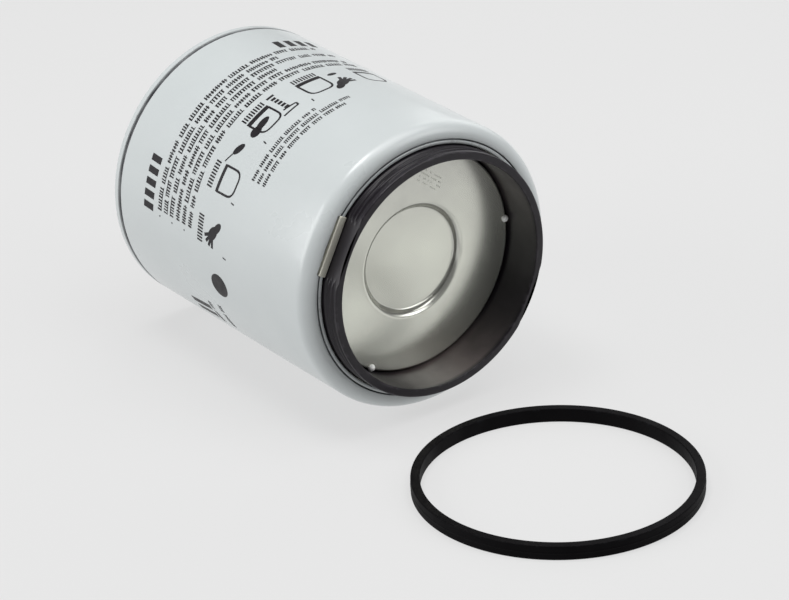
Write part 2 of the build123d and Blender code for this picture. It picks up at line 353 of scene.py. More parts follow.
def speck_group():
    """Sparse specks: 1 where there is one, which is near a cell's centre where soft noise is high."""
    group, source, out = new_group(
        "specks", [("Scale", "Float", 500.0), ("Amount", "Float", 0.2)], [("Mask", "Float")])
    place = on_object(group)
    cells = group.nodes.new("ShaderNodeTexVoronoi")
    group.links.new(place, cells.inputs["Vector"])
    group.links.new(source["Scale"], cells.inputs["Scale"])
    reach = math_node(group, "MULTIPLY", cloud(group, place, 140.0), source["Amount"])
    group.links.new(math_node(group, "LESS_THAN", cells.outputs["Distance"], reach), out["Mask"])
    return group


def wear_group():
    """Worn edge: the piece's wear attribute, broken up by noise."""
    group, source, out = new_group(
        "edge_wear", [("Scale", "Float", 300.0), ("Threshold", "Float", 0.55)], [("Mask", "Float")])
    noise = cloud(group, on_object(group), source["Scale"], detail=5.0)
    over = math_node(group, "SUBTRACT", noise, source["Threshold"])
    sharp = math_node(group, "MULTIPLY", over, 9.0, clamp=True)
    mask = math_node(group, "MULTIPLY", sharp, point_mark(group, "wear"), clamp=True)
    group.links.new(mask, out["Mask"])
    return group


def painted_light_group():
    """Painted light: the piece's mark for painted shade in grooves and corners and for painted reflection,
    made uneven by soft noise.
    """
    group, source, out = new_group(
        "groove_dirt", [("Scale", "Float", 120.0), ("Amount", "Float", 0.8)], [("Mask", "Float")])
    noise = cloud(group, on_object(group), source["Scale"])
    amount = math_node(group, "MULTIPLY", math_node(group, "ADD", noise, 0.45), source["Amount"])
    mask = math_node(group, "MULTIPLY", amount, point_mark(group, "dirt"), clamp=True)
    group.links.new(mask, out["Mask"])
    return group


GROUPS = {"blotch": blotch_group(), "grain": grain_group(), "speck": speck_group(), "wear": wear_group(),
          "dirt": painted_light_group()}


# ---------------------------------------------------------------- materials
def place_group(tree, kind, **values):
    """A shader group in a material, with its own values. Underscores stand for spaces in socket names."""
    node = tree.nodes.new("ShaderNodeGroup")
    node.node_tree = GROUPS[kind]
    for label, value in values.items():
        node.inputs[label.replace("_", " ")].default_value = value
    return node


def between(tree, mask, low, high):
    """A number that runs from low to high as the mask goes from 0 to 1."""
    return math_node(tree, "ADD", math_node(tree, "MULTIPLY", mask, high - low), low)


def material(name, light, dark, rough, metal=0.0, blotch=(60.0, 1.5), grain=((1, 1, 1), 900.0, 3.0),
             relief=(0.1, 0.02), worn=None, specks=None, dirt=None, **extra):
    """A finish: two tones in soft blotches, roughness that follows them, and fine relief. Where they are
    given, it has worn edges (colour, threshold), specks (colour, scale, amount) and a colour for painted
    shade and painted reflection (colour, amount)."""
    made = bpy.data.materials.new(name)
    made.use_nodes = True
    tree = made.node_tree
    shader = tree.nodes["Principled BSDF"]
    shader.inputs["Metallic"].default_value = metal
    for label, value in extra.items():
        shader.inputs[label.replace("_", " ")].default_value = value
    tones = place_group(tree, "blotch", Colour_A=(*light, 1), Colour_B=(*dark, 1), Scale=blotch[0],
                        Contrast=blotch[1])
    colour = tones.outputs["Colour"]
    roughness = between(tree, tones.outputs["Mask"], *rough)
    if specks:
        mask = place_group(tree, "speck", Scale=specks[1], Amount=specks[2]).outputs["Mask"]
        colour = blend_colour(tree, mask, colour, specks[0])
    if worn:
        mask = place_group(tree, "wear", Scale=420.0, Threshold=worn[1]).outputs["Mask"]
        colour = blend_colour(tree, mask, colour, worn[0])
        roughness = math_node(tree, "ADD", roughness, math_node(tree, "MULTIPLY", mask, 0.12))
    # Painted shade and painted reflection, mixed into the colour where the piece's mark asks for it.
    if dirt:
        mask = place_group(tree, "dirt", Scale=120.0, Amount=dirt[1]).outputs["Mask"]
        colour = blend_colour(tree, mask, colour, dirt[0])
    height = place_group(tree, "grain", Stretch=grain[0], Scale=grain[1], Detail=grain[2]).outputs["Height"]
    bump = tree.nodes.new("ShaderNodeBump")
    bump.inputs["Strength"].default_value = relief[0]
    bump.inputs["Distance"].default_value = relief[1] * MM
    tree.links.new(height, bump.inputs["Height"])
    tree.links.new(bump.outputs["Normal"], shader.inputs["Normal"])
    tree.links.new(colour, shader.inputs["Base Color"])
    tree.links.new(roughness, shader.inputs["Roughness"])
    return made


FINISH = {
    # The can's paint: its near-black colour given last is painted shade in the seam groove, under the lip and
    # near the ring.
    "can_paint": material("can_paint", (0.53, 0.562, 0.565), (0.50, 0.532, 0.535), (0.26, 0.34),
                          blotch=(30.0, 2.2), grain=((1, 1, 1), 1500.0, 2.0), relief=(0.2, 0.02),
                          worn=((0.36, 0.37, 0.37), 0.60), dirt=((0.035, 0.036, 0.042), 1.05),
                          Coat_Weight=0.2, Coat_Roughness=0.1),
    "bare_steel": material("bare_steel", (0.60, 0.60, 0.57), (0.47, 0.47, 0.46), (0.32, 0.50), metal=1.0,
                           blotch=(90.0, 2.4), grain=((1, 1, 1), 1400.0, 4.0), relief=(0.3, 0.03),
                           worn=((0.72, 0.72, 0.70), 0.52)),
    # The cap's tinplate: its grey colour given last is painted shade.
    "tinplate": material("tinplate", (0.785, 0.80, 0.712), (0.70, 0.71, 0.64), (0.20, 0.27), metal=0.84,
                         blotch=(45.0, 1.8), grain=((0.15, 1, 1), 900.0, 2.0), relief=(0.05, 0.01),
                         dirt=((0.42, 0.415, 0.40), 0.9)),
    # The nubs' finish: near-white and not metallic, a painted glint on the cap's pressed domes.
    "nub_steel": material("nub_steel", (0.97, 0.97, 0.96), (0.94, 0.94, 0.93), (0.18, 0.26), metal=0.0,
                          blotch=(200.0, 1.5), grain=((1, 1, 1), 1500.0, 2.0), relief=(0.1, 0.01)),
    "lock_steel": material("lock_steel", (0.80, 0.79, 0.69), (0.70, 0.69, 0.60), (0.42, 0.55), metal=0.6,
                           blotch=(260.0, 2.2), grain=((1, 1, 1), 1500.0, 4.0), relief=(0.3, 0.03),
                           worn=((0.80, 0.79, 0.72), 0.52)),
    # The ring's plastic: its light brown colour given last is a painted reflection on the bore.
    "ring_plastic": material("ring_plastic", (0.013, 0.0105, 0.0145), (0.008, 0.0064, 0.009), (0.30, 0.40),
                             blotch=(110.0, 2.6), grain=((1, 1, 1), 1600.0, 3.0), relief=(0.18, 0.02),
                             worn=((0.028, 0.024, 0.030), 0.50), specks=((0.022, 0.020, 0.022), 900.0, 0.10),
                             dirt=((0.115, 0.095, 0.092), 1.0), IOR=1.38),
    "seal_rubber": material("seal_rubber", (0.0024, 0.0020, 0.0026), (0.0016, 0.0013, 0.0018), (0.5, 0.66),
                            blotch=(120.0, 2.0), grain=((1, 1, 1), 2600.0, 4.0), relief=(0.35, 0.03),
                            worn=((0.006, 0.006, 0.007), 0.55), Specular_IOR_Level=0.06),
    "gasket_rubber": material("gasket_rubber", (0.018, 0.018, 0.019), (0.010, 0.010, 0.011), (0.26, 0.44),
                              blotch=(140.0, 2.6), grain=((1, 1, 1), 2200.0, 4.0), relief=(0.3, 0.03)),
    "filter_paper": material("filter_paper", (0.66, 0.54, 0.32), (0.56, 0.44, 0.25), (0.75, 0.9),
                             blotch=(200.0, 2.0), grain=((1, 0.4, 1), 3000.0, 5.0), relief=(0.6, 0.08)),
    "potting_adhesive": material("potting_adhesive", (0.72, 0.68, 0.54), (0.62, 0.57, 0.42), (0.3, 0.5),
                                 blotch=(150.0, 1.8), grain=((1, 1, 1), 700.0, 3.0), relief=(0.3, 0.08)),
    "sealing_compound": material("sealing_compound", (0.26, 0.25, 0.22), (0.18, 0.17, 0.15), (0.5, 0.7),
                                 blotch=(300.0, 2.0), grain=((1, 1, 1), 1500.0, 3.0), relief=(0.4, 0.05)),
    "screen_mesh": material("screen_mesh", (0.78, 0.78, 0.72), (0.58, 0.58, 0.54), (0.6, 0.8),
                            blotch=(900.0, 3.0), grain=((1, 1, 1), 4000.0, 1.0), relief=(0.7, 0.08)),
    "print_ink": material("print_ink", (0.022, 0.020, 0.022), (0.012, 0.011, 0.013), (0.34, 0.5),
                          blotch=(300.0, 2.0), grain=((1, 1, 1), 2500.0, 3.0), relief=(0.2, 0.02),
                          Specular_IOR_Level=0.2),
    "code_ink": material("code_ink", (0.60, 0.61, 0.55), (0.52, 0.53, 0.48), (0.4, 0.6), metal=0.6,
                         blotch=(300.0, 2.0), grain=((1, 1, 1), 2500.0, 3.0), relief=(0.2, 0.02)),
}

slot_of = {s["node"]: s["material_slot"] for s in frame["record"]["subparts"]}
for node_name, node in frame["nodes"].items():
    node.data.materials.clear()
    node.data.materials.append(FINISH[slot_of[node_name]])


def dress(piece, body, finish, node=None):
    """Gives a new piece its finish and its body, and hides the CAD node it stands for, where one is given."""
    piece.data.materials.append(FINISH[finish])
    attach(piece, body)
    if node:
        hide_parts(node)


# ---------------------------------------------------------------- can
def notch_radius(angle):
    """Radius of the straight notch in the can's face beside each flat, and 0 everywhere else."""
    reach = np.zeros_like(angle)
    for centre in (FLAT_ANGLE, FLAT_ANGLE + np.pi):
        off = turn_from(angle, centre)
        inside = (np.abs(off) < 0.5) & (NOTCH_D * np.abs(np.tan(off)) < TAB_LEN / 2 + TAB_GAP)
        reach = np.where(inside, NOTCH_D / np.cos(off), reach)
    return reach


def make_can():
    """Drawn shell: the wall, the rounded shoulder, the flat end face and the rolled lip, with a groove and a
    rolled seam at the head end, turned about the axis. At each flat the lip is cut back to the notch."""
    mouth = LIP_R + 2 * LIP_BEAD_R
    bead_top = FACE_Y - 0.25 * MM
    outline, tight = rounded([
        (PAINT_R - WALL, SEAM_TOP_Y - 0.2 * MM, 0.1 * MM),
        (PAINT_R - WALL + 0.2 * MM, SEAM_TOP_Y, 0.1 * MM),
        (PAINT_R, SEAM_TOP_Y, 0.9 * MM),
        (PAINT_R, SEAM_Y + 1.0 * MM, 0.25 * MM),
        (PAINT_R - GROOVE_DEPTH, SEAM_Y + 0.45 * MM, 0.25 * MM),
        (PAINT_R - GROOVE_DEPTH, SEAM_Y - 0.45 * MM, 0.25 * MM),
        (PAINT_R, SEAM_Y - 1.0 * MM, 0.4 * MM),
        (PAINT_R, FACE_Y, SHOULDER_R),
        (mouth + 0.35 * MM, FACE_Y, 0.25 * MM),
        (mouth + 0.05 * MM, FACE_Y + 0.75 * MM, 0.15 * MM),
        (mouth - 0.15 * MM, FACE_Y + 0.55 * MM, 0.15 * MM),
        (mouth - 0.05 * MM, bead_top, 0.45 * MM),
        (LIP_R, bead_top, 0.6 * MM),
        (LIP_R, FACE_Y + WALL + 0.1 * MM, 0.4 * MM),
        (mouth, FACE_Y + WALL, 0.2 * MM),
        (PAINT_R - WALL, FACE_Y + WALL, SHOULDER_R - WALL),
    ], steps=8)
    outline, tight = finer(outline, tight, 20 * MM)
    steps = 560
    angle, r, y = turned(outline, steps)
    notch = notch_radius(angle)
    y = np.where(r < notch, np.clip(y, FACE_Y, FACE_Y + WALL), y)
    r = np.maximum(r, notch)
    line_r, line_y = outline.T
    # Painted shade: the colour is darkened in the seam groove, under the rolled lip and, faintly, on the end
    # face next to the ring.
    in_groove = np.clip(1.7 - np.abs(line_y - SEAM_Y) / (0.7 * MM), 0, 1) * (line_r > PAINT_R - 0.8 * MM)
    under_lip = np.clip(1.4 - np.abs(line_r - mouth - 0.1 * MM) / (0.35 * MM), 0, 1)
    under_lip *= line_y < FACE_Y + 0.8 * MM
    on_face = 0.16 * np.clip(1 - (line_r - mouth) / (3.6 * MM), 0, 1) * (line_y < FACE_Y + 2 * MM)
    dirt = np.maximum(in_groove, np.maximum(under_lip, on_face))
    can = spin("can_shell", r, y, tight, steps=steps, crease=40, dirt=dirt)
    dress(can, "filter", "can_paint", "can")


# ---------------------------------------------------------------- thread ring
def make_thread_ring():
    """Black ring: the exposed wall carries a coarse right-hand thread cut off at two flats; flange, O-ring
    groove and skirt lie inside the can. Its thickness is the CAD's."""
    flange_r = ring_hi.x
    thread_end = FACE_Y - 0.7 * MM
    flange_y = FACE_Y + 2.3 * MM
    flange_top = flange_y + 7.8 * MM
    groove_r = 50.05 * MM
    groove_low = flange_y + 2.3 * MM
    groove_high = flange_y + 5.7 * MM
    outline, tight = rounded([
        (RING_IN_R, RIM_Y, 0.45 * MM),
        (BOWL_THREAD_R, RIM_Y, 0.5 * MM),
        (BOWL_THREAD_R, flange_y, 0.1 * MM),
        (flange_r - 2.2 * MM, flange_y, 0.4 * MM),
        (flange_r, flange_y + 2.2 * MM, 0.4 * MM),
        (flange_r, groove_low, 0.15 * MM),
        (groove_r, groove_low, 0.15 * MM),
        (groove_r, groove_high, 0.15 * MM),
        (flange_r, groove_high, 0.15 * MM),
        (flange_r, flange_top, 0.4 * MM),
        (BOWL_THREAD_R, flange_top, 0.3 * MM),
        (BOWL_THREAD_R - 1 * MM, ring_hi.y, 0.3 * MM),
        (RING_IN_R, ring_hi.y, 0.3 * MM),
    ], steps=6)
    outline, tight = finer(outline, tight, 0.17 * MM)
    wall = (outline[:, 0] > BOWL_THREAD_R - 0.1 * MM) & (outline[:, 1] < thread_end + 0.4 * MM)
    kept = wall | (tight > 0) | (np.arange(len(outline)) % 12 == 0)
    outline, tight = outline[kept], tight[kept]
    steps = 340
    angle, r, y = turned(outline, steps)
    outside = (r > BOWL_THREAD_R - 0.6 * MM) & (y < flange_y + 0.01 * MM)
    threaded = outside & (y < thread_end + 0.01 * MM)
    groove = helix_groove(angle, y, RIM_Y + 0.7 * MM, thread_end - 0.1 * MM, BOWL_THREAD_PITCH)
    r = r - BOWL_THREAD_DEPTH * groove * threaded
    for centre in (FLAT_ANGLE, FLAT_ANGLE + np.pi):
        off = turn_from(angle, centre)
        chord = np.where(np.abs(off) < 1.0, FLAT_D / np.cos(np.clip(off, -1.0, 1.0)), 1.0)
        r = np.where(outside, np.minimum(r, chord), r)
    bore = (outline[:, 0] < RING_IN_R + 0.1 * MM) & (outline[:, 1] > RIM_Y + 0.5 * MM)
    # Painted reflection: the bore's colour is lighter and browner low down, near 166 degrees, and a little
    # near 62 degrees, where the wall would reflect the end cap.
    painted_reflection = np.exp(-(turn_from(angle, math.radians(166.0)) / 0.42) ** 2)
    painted_reflection = painted_reflection + 0.3 * np.exp(-(turn_from(angle, math.radians(62.0)) / 0.35) ** 2)
    ring = spin("bowl_thread_ring", r, y, tight, steps=steps, crease=40, dirt=bore * painted_reflection)
    dress(ring, "filter", "ring_plastic", "thread_ring")


def make_lock_ring():
    """Flat steel ring under the can's face and a rounded straight tab standing in each flat."""
    in_r, out_r = BOWL_THREAD_R + 0.25 * MM, CAN_R - SHOULDER_R - 0.1 * MM
    low = lock_hi.y - 1.0 * MM
    outline, tight = rounded([(in_r, low, 0.1 * MM), (out_r, low, 0.1 * MM), (out_r, lock_hi.y, 0.1 * MM),
                              (in_r, lock_hi.y, 0.1 * MM)], steps=3)
    ring = spin("lock_ring_body", outline[:, 0], outline[:, 1], tight, steps=200)
    dress(ring, "filter", "lock_steel", "lock_ring")
    depth = lock_hi.y - lock_lo.y
    for label, centre in (("near", FLAT_ANGLE + np.pi), ("far", FLAT_ANGLE)):
        out = np.array([math.sin(centre), 0, math.cos(centre)])
        along = np.array([math.cos(centre), 0, -math.sin(centre)])
        middle = out * (FLAT_D + TAB_GAP + TAB_W / 2)
        middle[1] = (lock_hi.y + lock_lo.y) / 2
        tab = rounded_bar(f"lock_tab_{label}", middle, along, out, (0, 1, 0),
                          (TAB_LEN, TAB_W, depth), 0.35 * MM)
        dress(tab, "filter", "lock_steel")


# ---------------------------------------------------------------- end cap of the element
def make_dished_cap():
    """Pressed tinplate cup turned about the axis: rounded outer corner, flat annulus, a slope that rolls down
    into the flat dish, and the same on the sheet's inner side. Its colour carries painted shade, darker
    towards the top and in the slope, and it is darker at the outer bend."""
    edge_r, front, back = CAP_EDGE_R, CAP_Y, cap_hi.y
    sheet, offset = 0.5 * MM, 0.3 * MM
    outline, tight = rounded([
        (0.0, front + DISH_DEPTH, 0),
        (DISH_FLOOR_R, front + DISH_DEPTH, 1.0 * MM),
        (DISH_R, front, 2.8 * MM),
        (edge_r, front, 0.9 * MM),
        (edge_r, back, 0.2 * MM),
        (edge_r - sheet, back, 0.2 * MM),
        (edge_r - sheet, front + sheet, 0.5 * MM),
        (DISH_R + offset, front + sheet, 2.3 * MM),
        (DISH_FLOOR_R + offset, front + sheet + DISH_DEPTH, 1.5 * MM),
        (0.0, front + sheet + DISH_DEPTH, 0),
    ], steps=12)
    dense = finer(outline, np.zeros_like(tight), 1.5 * MM)[0]
    at_axis = dense[:, 0] < 1e-9
    floors = np.round([front + DISH_DEPTH, front + sheet + DISH_DEPTH], 9)
    dense = dense[~at_axis | np.isin(dense[:, 1].round(9), floors)]
    pole = int(np.argmin(dense[:, 1] + 1e3 * (dense[:, 0] > 1e-9)))
    dense = np.roll(dense, -pole, axis=0)
    angle, r, y = turned(dense, 400)
    points = about_axis(r, y, angle)
    # Painted shade: the colour is darker towards the top, where the ring would shade the cap, and in the
    # slope of the dish; it is also darker at the outer bend.
    bend = np.clip(1 - np.abs(r - edge_r) / (0.9 * MM), 0, 1)
    top_shade = np.clip(points[..., 2] / edge_r - 0.05, 0, 1) * 0.8
    slope = np.clip(1.4 - np.abs(r - (DISH_R + DISH_FLOOR_R) / 2) / (1.1 * MM), 0, 1) * 0.6
    dirt = np.maximum(np.maximum(bend * 0.5, top_shade), slope)
    faces = closed_grid(*r.shape, close_columns=False)
    cap = mesh_piece("dished_cap", points, faces, merge=True, crease=60, dirt=dirt)
    dress(cap, "filter", "tinplate", "bottom_end_cap")


def make_nubs():
    """Three domes pressed out of the cap's corner: spheres from pole to pole, half sunk in the sheet."""
    tilt = np.linspace(0, np.pi, 17)
    angle, r, y = turned(NUB_R * np.stack([np.sin(tilt), -np.cos(tilt)], 1), 32)
    faces = closed_grid(*r.shape, close_columns=False)
    for k in range(NUB_COUNT):
        centre = about_axis(NUB_PITCH_R, CAP_Y + 0.2 * MM, NUB_ANGLE + k * NUB_STEP)
        nub = mesh_piece(f"cap_nub_{k + 1}", about_axis(r, y, angle) + centre, faces, merge=True)
        # Each dome gets the near-white finish of the painted glint, not the cap's tinplate.
        dress(nub, "filter", "nub_steel")


# ---------------------------------------------------------------- head end
def make_lid():
    """Stamped lid turned about the axis: its edge rolled into the can's seam, its inside a channel for the
    gasket."""
    in_r, wall_r, lid_r = 43.6 * MM, 51.0 * MM, lid_hi.x
    lip_y = lid_lo.y + 3.2 * MM
    outline, tight = rounded([
        (in_r, 0, 0.12 * MM),
        (wall_r + SHEET, 0, 0.5 * MM),
        (wall_r + SHEET, SEAM_TOP_Y - 1.4 * MM, 0.12 * MM),
        (lid_r, SEAM_TOP_Y - 1.4 * MM, 0.1 * MM),
        (lid_r, SEAM_TOP_Y - 0.42 * MM, 0.1 * MM),
        (wall_r, SEAM_TOP_Y - 0.42 * MM, 0.5 * MM),
        (wall_r, SHEET, 0.3 * MM),
        (in_r + 1.8 * MM, SHEET, 0.15 * MM),
        (in_r + 1.8 * MM, lip_y, 0.35 * MM),
        (in_r + 1.0 * MM, lip_y, 0.35 * MM),
        (in_r + 1.0 * MM, SHEET, 0.3 * MM),
        (in_r, SHEET, 0.12 * MM),
    ], steps=6)
    outline, tight = finer(outline, tight, 2 * MM)
    lid = spin("seam_lid", outline[:, 0], outline[:, 1], tight, steps=300)
    dress(lid, "filter", "bare_steel", "seaming_lid")


def make_gasket():
    """Square rubber gasket turned about the axis, its two free edges rounded."""
    low, high, out_r = gasket_lo.y, gasket_hi.y, gasket_hi.x
    outline, tight = rounded([(GASKET_IN_R, low, 0.2 * MM), (out_r, low, 0.2 * MM), (out_r, high, 0.7 * MM),
                              (GASKET_IN_R, high, 0.7 * MM)], steps=8)
    gasket = spin("face_gasket", outline[:, 0], outline[:, 1], tight, steps=300)
    dress(gasket, "filter", "gasket_rubber", "head_gasket")


def cut_inlets(plate):
    """Cuts eight round holes through the plate, each with a chamfer on the head side. A cutter is a stepped
    plug turned about its own axis."""
    low, high, wide_r = -PLATE_T - 1 * MM, 1 * MM, INLET_R + 0.6 * MM
    plug = np.array([(0.0, low), (INLET_R, low), (INLET_R, -0.35 * MM), (wide_r, 0.25 * MM), (wide_r, high),
                     (0.0, high)])
    angle, r, y = turned(plug, 48)
    faces = closed_grid(*r.shape, close_columns=False)
    cutters = []
    for k in range(INLET_COUNT):
        at = 2 * np.pi * (k + 0.5) / INLET_COUNT
        centre = INLET_PITCH_R * np.array([math.cos(at), 0, math.sin(at)])
        cutters.append(mesh_piece(f"inlet_cut_{k}", about_axis(r, y, angle) + centre, faces, merge=True))
    for cutter in cutters:
        cut = plate.modifiers.new("inlet", "BOOLEAN")
        cut.operation = "DIFFERENCE"
        cut.solver = "EXACT"
        cut.object = cutter
    solid = bpy.data.meshes.new_from_object(plate.evaluated_get(bpy.context.evaluated_depsgraph_get()))
    plate.modifiers.clear()
    plate.data = solid
    for cutter in cutters:
        bpy.data.objects.remove(cutter)


def make_base_plate():
    """Thick plate turned about the axis, with a right-hand thread in its hub, then the inlet holes."""
    bottom = plate_lo.y
    outline, tight = rounded([
        (HEAD_THREAD_R, bottom, 0.3 * MM),
        (HEAD_THREAD_R, 0, 0.3 * MM),
        (plate_hi.x, 0, 0.2 * MM),
        (plate_hi.x, -PLATE_T, 0.3 * MM),
        (HUB_R, -PLATE_T, 1.2 * MM),
        (HUB_R, bottom, 0.4 * MM),
    ], steps=6)
    outline, tight = finer(outline, tight, 0.18 * MM)
    kept = (outline[:, 0] < HUB_R + 0.5 * MM) | (np.arange(len(outline)) % 8 == 0) | (tight > 0)
    outline, tight = outline[kept], tight[kept]
    steps = 240
    angle, r, y = turned(outline, steps)
    bore = r < HEAD_THREAD_R + 0.3 * MM
    thread = helix_groove(angle, y, bottom + 0.2 * MM, -0.3 * MM, HEAD_THREAD_PITCH)
    r = r + HEAD_THREAD_DEPTH * thread * bore
    plate = spin("hub_plate", r, y, tight, steps=steps, crease=35)
    cut_inlets(plate)
    dress(plate, "filter", "bare_steel", "base_plate")


# ---------------------------------------------------------------- loose seal
def make_seal():
    """Square-cut rubber ring lying on the surface, turned about its own upright axis: four rounded edges, a
    faint mould line outside, and a slight waviness of three waves round the ring."""
    centre = (seal_lo + seal_hi) / 2
    outer = (seal_hi.x - seal_lo.x) / 2
    height = seal_hi.z - seal_lo.z
    inner = outer - 3.4 * MM
    outline, tight = rounded([
        (inner, 0, 0.35 * MM),
        (outer - 0.08 * MM, 0, 0.35 * MM),
        (outer - 0.08 * MM, height * 0.47, 0.0),
        (outer, height * 0.5, 0.0),
        (outer - 0.08 * MM, height * 0.53, 0.0),
        (outer - 0.08 * MM, height - 0.02 * MM, 0.35 * MM),
        (inner, height - 0.02 * MM, 0.35 * MM),
    ], steps=6)
    outline, tight = finer(outline, tight, 0.6 * MM)
    steps = 420
    angle, r, h = turned(outline, steps)
    r = r - 0.05 * MM * (1 + np.sin(3 * angle + 0.6))

    def on_floor(r, h, angle):
        """Points about the seal's upright axis."""
        return np.stack([centre.x + r * np.sin(angle), centre.y + r * np.cos(angle), FLOOR_Z + h], -1)

    seal = spin("square_seal", r, h, tight, steps=steps, place=on_floor)
    dress(seal, "loose_seal", "seal_rubber", "bowl_seal")


# ---------------------------------------------------------------- print on the can
INK_OUT = PAINT_R + 0.035 * MM
INK_IN = PAINT_R - 0.05 * MM


def wrap_on_can(outlines):
    """Closed flat shapes laid on the can. Each outline is a list of (around, along) in millimetres, convex,
    given from the print's own origin: around turns with the angle from the top, along runs towards the head
    end from the ring's rim. Each is drawn as a thin prism."""
    points, faces = [], []
    for outline in outlines:
        flat = np.array(outline, float) * MM
        angle = flat[:, 0] / CAN_R
        first = sum(len(p) for p in points)
        count = len(flat)
        for level in (INK_OUT, INK_IN):
            points.append(about_axis(np.full(count, level), RIM_Y + flat[:, 1], angle))
        top = list(range(first, first + count))
        faces.append(top)
        faces.append([k + count for k in reversed(top)])
        for k in range(count):
            n = (k + 1) % count
            faces.append([first + k, first + count + k, first + count + n, first + n])
    return np.concatenate(points), faces


def loose_shapes(name, points, faces, finish):
    """One piece made of many small closed shapes, faces turned outwards."""
    mesh = bpy.data.meshes.new(name)
    mesh.from_pydata(points.tolist(), [], faces)
    work = bmesh.new()
    work.from_mesh(mesh)
    bmesh.ops.recalc_face_normals(work, faces=work.faces)
    work.to_mesh(mesh)
    work.free()
    piece = bpy.data.objects.new(name, mesh)
    bpy.context.scene.collection.objects.link(piece)
    dress(piece, "filter", finish)


def print_piece(name, outlines):
    """One printed piece on the can."""
    points, faces = wrap_on_can(outlines)
    loose_shapes(name, points, faces, "print_ink")


def strip(a0, a1, b0, b1, slant=0.0):
    """A slanted bar, a0 to a1 round the can and b0 to b1 along it, cut every 2 mm to follow the curve."""
    cuts = np.linspace(a0, a1, max(1, math.ceil((a1 - a0) / 2.0)) + 1)
    return [[(p, b0), (q, b0), (q + slant, b1), (p + slant, b1)] for p, q in zip(cuts, cuts[1:])]


def ticks_row(rng, start, end, along, height):
    """A row in place of small print, with no letters: groups of upright ticks of uneven width and height,
    tied by a dash, with a gap after each group."""
    shapes, at = [], start
    while at < end:
        stop = min(at + height * rng.uniform(1.6, 4.2), end)
        first = at
        while at < stop:
            width = height * rng.uniform(0.17, 0.27)
            top = height * rng.uniform(0.82, 1.0)
            foot = height * rng.uniform(0.0, 0.14)
            shapes += strip(at, at + width, along + foot, along + top, slant=0.08 * height)
            at += width + height * rng.uniform(0.14, 0.24)
        tie = along + height * rng.choice([0.02, 0.42, 0.80])
        shapes += strip(first, min(at, end), tie, tie + 0.15 * height)
        at += height * rng.uniform(0.4, 0.6)
    return shapes


def path_line(points, width):
    """A drawn line through points, one bar for each stretch, cut short enough to follow the curve."""
    shapes = []
    for (a, b), (c, d) in zip(points, points[1:]):
        length = math.hypot(c - a, d - b)
        ox, oy = -(d - b) / length * width / 2, (c - a) / length * width / 2
        cuts = np.linspace(0, 1, max(1, math.ceil(length / 2.0)) + 1)
        for u, v in zip(cuts, cuts[1:]):
            p, q = (a + (c - a) * u, b + (d - b) * u), (a + (c - a) * v, b + (d - b) * v)
            shapes.append([(p[0] - ox, p[1] - oy), (q[0] - ox, q[1] - oy),
                           (q[0] + ox, q[1] + oy), (p[0] + ox, p[1] + oy)])
    return shapes


def blob(a, b, ra, rb, turn=0.0):
    """A filled ellipse turned by an angle, in upright slices under 1 mm wide. Its half height at an offset u
    is ra rb sqrt(w2 - u2) / w2, where w is its half width."""
    w2 = (ra * math.cos(turn)) ** 2 + (rb * math.sin(turn)) ** 2
    lean = (ra * ra - rb * rb) * math.sin(turn) * math.cos(turn) / w2
    w = math.sqrt(w2)
    u = -w * np.cos(np.linspace(0, np.pi, 2 * math.ceil(w * 1.6) + 7))
    half = ra * rb * np.sqrt(np.maximum(w2 - u * u, 1e-4)) / w2
    low, high = b + lean * u - half, b + lean * u + half
    return [[(a + u[k], low[k]), (a + u[k + 1], low[k + 1]),
             (a + u[k + 1], high[k + 1]), (a + u[k], high[k])] for k in range(len(u) - 1)]


def bowl_sign(a, rim, width, height, hatch, band=0.0):
    """Plain picture of a bowl: two side walls, a rounded bottom that is half a superellipse, a thick rim line
    and a hatched cap above."""
    half = width / 2
    t = np.linspace(0, np.pi, 15)
    x = half * np.sign(np.cos(t)) * np.abs(np.cos(t)) ** 0.6
    z = -0.45 * height * np.sin(t) ** 0.7
    cup = [(a + half, rim)] + [(a + u, rim - 0.55 * height + v) for u, v in zip(x, z)] + [(a - half, rim)]
    shapes = path_line(cup, 0.85) + strip(a - half - 0.3, a + half + 0.3, rim - 0.8, rim + 0.8 + band)
    ridges = 9
    for k in range(ridges):
        left = a - half + k * width / (ridges - 0.5)
        shapes += strip(left, left + width / ridges * 0.58, hatch, hatch + 3.0, slant=0.2)
    return shapes


def around(degrees):
    """Millimetres round the can from the top."""
    return math.radians(degrees) * CAN_R / MM


def hand_sign(a, b, lean=1.0):
    """Plain blob with four short rays, for a hand."""
    shapes = blob(a, b, 3.4, 2.1, -0.7 * lean) + blob(a + 2.6 * lean, b - 2.4, 2.8, 1.5, -0.7 * lean)
    for k in range(4):
        ray = 1.9 + 0.42 * k
        shapes += path_line([(a, b), (a + 5.6 * math.cos(ray) * lean, b + 5.2 * math.sin(ray))], 1.3)
    return shapes


def block_row(start, count, pitch, low, high, slant):
    """Heavy slanted plain blocks in place of large figures."""
    shapes = []
    for left in start + pitch * np.arange(count):
        shapes += strip(left, left + 0.58 * pitch, low, high, slant)
    return shapes


def make_print_rows(rng):
    """Six long rows in place of small print, three short ones, and four upright marks between the signs."""
    rows = []
    for k, end in enumerate((19, -2, 23, -8, 22, 24)):
        rows += ticks_row(rng, around(-83), around(end), 98.2 - 4.0 * k, 2.7)
        if k % 2 == 0:
            rows += blob(around(-85.3), 99.2 - 4.0 * k, 0.35, 0.35)
    for k, end in enumerate((-17, -3.5, -8)):
        rows += ticks_row(rng, around(-54), around(end), 50.7 - 3.3 * k, 2.1)
    for place in (-88, -66, -39.5, -14):
        rows += strip(around(place), around(place) + 0.5, 56.3, 58.3, slant=0.3)
    print_piece("print_rows", rows)


def make_print_blocks():
    """Two rows of heavy blocks near the head end."""
    print_piece("print_blocks", block_row(around(-85), 5, 4.45, 103.7, 109.9, 0.35)
                + block_row(around(5.5), 4, 4.9, 103.2, 109.8, 0.6))


